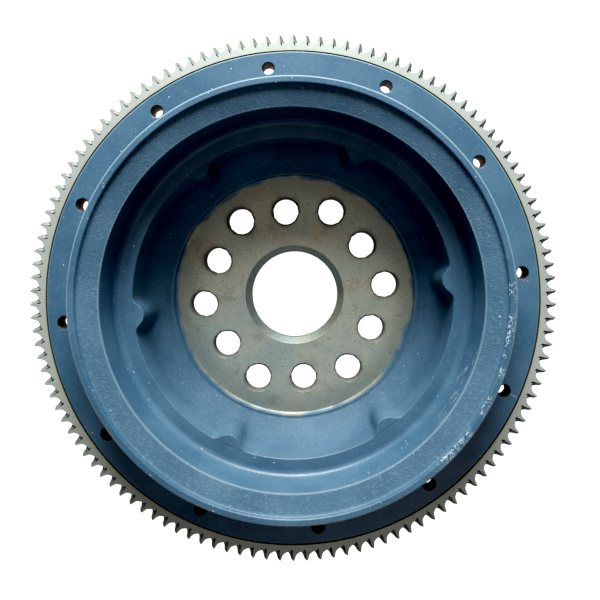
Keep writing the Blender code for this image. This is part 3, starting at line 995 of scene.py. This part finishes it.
def floor_material(s):
    """Pale matt studio floor, faintly mottled, that looks white to the camera."""
    material, tree, shader = surface("studio_floor")
    place = tree.nodes.new("ShaderNodeTexCoord").outputs["Object"]
    tone = blend(tree, noise(tree, place, 3.0), (*s.floor_colour, 1), FLOOR_SHADE)
    feed(tree, shader.inputs["Base Color"], tone)
    shader.inputs["Roughness"].default_value = 0.9
    shader.inputs["Emission Color"].default_value = (1, 1, 1, 1)
    seen = tree.nodes.new("ShaderNodeLightPath").outputs["Is Camera Ray"]
    glow = plus(tree, FLOOR_GLOW, times(tree, seen, WHITE_AIR))
    feed(tree, shader.inputs["Emission Strength"], glow)
    return material


# Operators

class FLYWHEEL_OT_casting(bpy.types.Operator):
    """Makes the finished casting in place of the plain one"""

    bl_idname = "flywheel.casting"
    bl_label = "Make Casting"

    def execute(self, context):
        s = context.scene.flywheel_casting
        materials = [blue_paint_material(s), bare_hub_material(s), hole_wall_material(s)]
        piece = casting_skin(s).finish("flywheel_casting", materials)
        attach(piece, "root")
        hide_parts("flywheel_body")
        return {"FINISHED"}


class FLYWHEEL_OT_ring_gear(bpy.types.Operator):
    """Makes the starter ring gear with hollow-flanked, bevelled teeth"""

    bl_idname = "flywheel.ring_gear"
    bl_label = "Make Ring Gear"

    def execute(self, context):
        s = context.scene.flywheel_gear
        piece = gear_skin(s).finish("starter_ring_gear", [gear_steel_material(s)])
        piece.data.set_sharp_from_angle(angle=math.radians(35))
        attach(piece, "root")
        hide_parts("ring_gear")
        return {"FINISHED"}


class FLYWHEEL_OT_stage(bpy.types.Operator):
    """Makes the floor, the soft lights and the camera"""

    bl_idname = "flywheel.stage"
    bl_label = "Make Stage"

    def execute(self, context):
        s = context.scene.flywheel_stage
        scene = context.scene
        half = 3.0
        corner = np.array([[-half, -half], [half, -half], [half, half], [-half, half]])
        points = np.column_stack([corner, np.full(4, -0.0005)])
        mesh = bpy.data.meshes.new("studio_floor")
        mesh.from_pydata(points, [], [(0, 1, 2, 3)])
        mesh.materials.append(floor_material(s))
        floor = bpy.data.objects.new("studio_floor", mesh)
        scene.collection.objects.link(floor)

        middle = Vector((0, 0, 0.05))
        add_softbox("key_softbox", Vector((-0.03, 1.25, 0.71)), middle, 0.75, s.key_power,
                    (0.92, 1.0, 1.0))
        add_softbox("top_softbox", Vector((0.0, 0.0, 1.2)), middle, 1.3, s.fill_power,
                    (1.0, 0.97, 0.90))
        add_softbox("near_softbox", Vector((0.30, -0.80, 1.1)), middle, 0.8, s.near_power,
                    (0.97, 0.98, 1.0))

        world = bpy.data.worlds.new("studio_air")
        world.use_nodes = True
        scene.world = world
        light_the_air(world.node_tree)

        lens = bpy.data.cameras.new("camera")
        lens.sensor_width = 36.0
        lens.lens = LENS_LENGTH
        lens.shift_x, lens.shift_y = LENS_SHIFT
        camera = bpy.data.objects.new("camera", lens)
        camera.location = (*CAMERA_PLACE, s.camera_height)
        scene.collection.objects.link(camera)
        scene.camera = camera
        scene.view_settings.view_transform = "Standard"
        scene.view_settings.gamma = GAMMA
        scene.view_settings.use_curve_mapping = True
        tone = scene.view_settings.curve_mapping
        tone.black_level = (BLACK_LEVEL,) * 3
        tone.curves[3].points[-1].location = (1.0, SHOULDER_WHITE)
        tone.curves[3].points.new(SHOULDER_START, SHOULDER_START)
        tone.update()
        return {"FINISHED"}


def light_the_air(tree):
    """Pale air behind the object, which lights it only faintly."""
    air = tree.nodes["Background"]
    air.inputs["Color"].default_value = (0.93, 0.96, 1.0, 1)
    seen = tree.nodes.new("ShaderNodeLightPath").outputs["Is Camera Ray"]
    strength = tree.nodes.new("ShaderNodeMapRange")
    feed(tree, strength.inputs["Value"], seen)
    strength.inputs["To Min"].default_value = AIR_GLOW
    strength.inputs["To Max"].default_value = WHITE_AIR
    feed(tree, air.inputs["Strength"], strength.outputs[0])


def add_softbox(name, place, target, size, power, tint):
    """A square area light that faces its target."""
    light = bpy.data.lights.new(name, "AREA")
    light.shape = "SQUARE"
    light.size = size
    light.energy = power
    light.color = tint
    softbox = bpy.data.objects.new(name, light)
    softbox.location = place
    softbox.rotation_euler = (target - place).to_track_quat("-Z", "Y").to_euler()
    bpy.context.scene.collection.objects.link(softbox)


class FLYWHEEL_PT_finish(bpy.types.Panel):
    """Sizes, colours and the steps that make the flywheel"""

    bl_idname = "FLYWHEEL_PT_finish"
    bl_label = "Flywheel"
    bl_space_type = "VIEW_3D"
    bl_region_type = "UI"
    bl_category = "Flywheel"

    def draw(self, context):
        for group_name, operator in (("flywheel_casting", "flywheel.casting"),
                                     ("flywheel_gear", "flywheel.ring_gear"),
                                     ("flywheel_stage", "flywheel.stage")):
            box = self.layout.box()
            settings = getattr(context.scene, group_name)
            for label in settings.__annotations__:
                box.prop(settings, label)
            box.operator(operator)


CLASSES = (CastingSettings, GearSettings, StageSettings, FLYWHEEL_OT_casting,
           FLYWHEEL_OT_ring_gear, FLYWHEEL_OT_stage, FLYWHEEL_PT_finish)


def register():
    for item in CLASSES:
        bpy.utils.register_class(item)
    bpy.types.Scene.flywheel_casting = PointerProperty(type=CastingSettings)
    bpy.types.Scene.flywheel_gear = PointerProperty(type=GearSettings)
    bpy.types.Scene.flywheel_stage = PointerProperty(type=StageSettings)


def unregister():
    for name in ("flywheel_casting", "flywheel_gear", "flywheel_stage"):
        delattr(bpy.types.Scene, name)
    for item in reversed(CLASSES):
        bpy.utils.unregister_class(item)


def main():
    register()
    bpy.ops.flywheel.stage()
    bpy.ops.flywheel.casting()
    bpy.ops.flywheel.ring_gear()


if __name__ == "__main__":
    main()
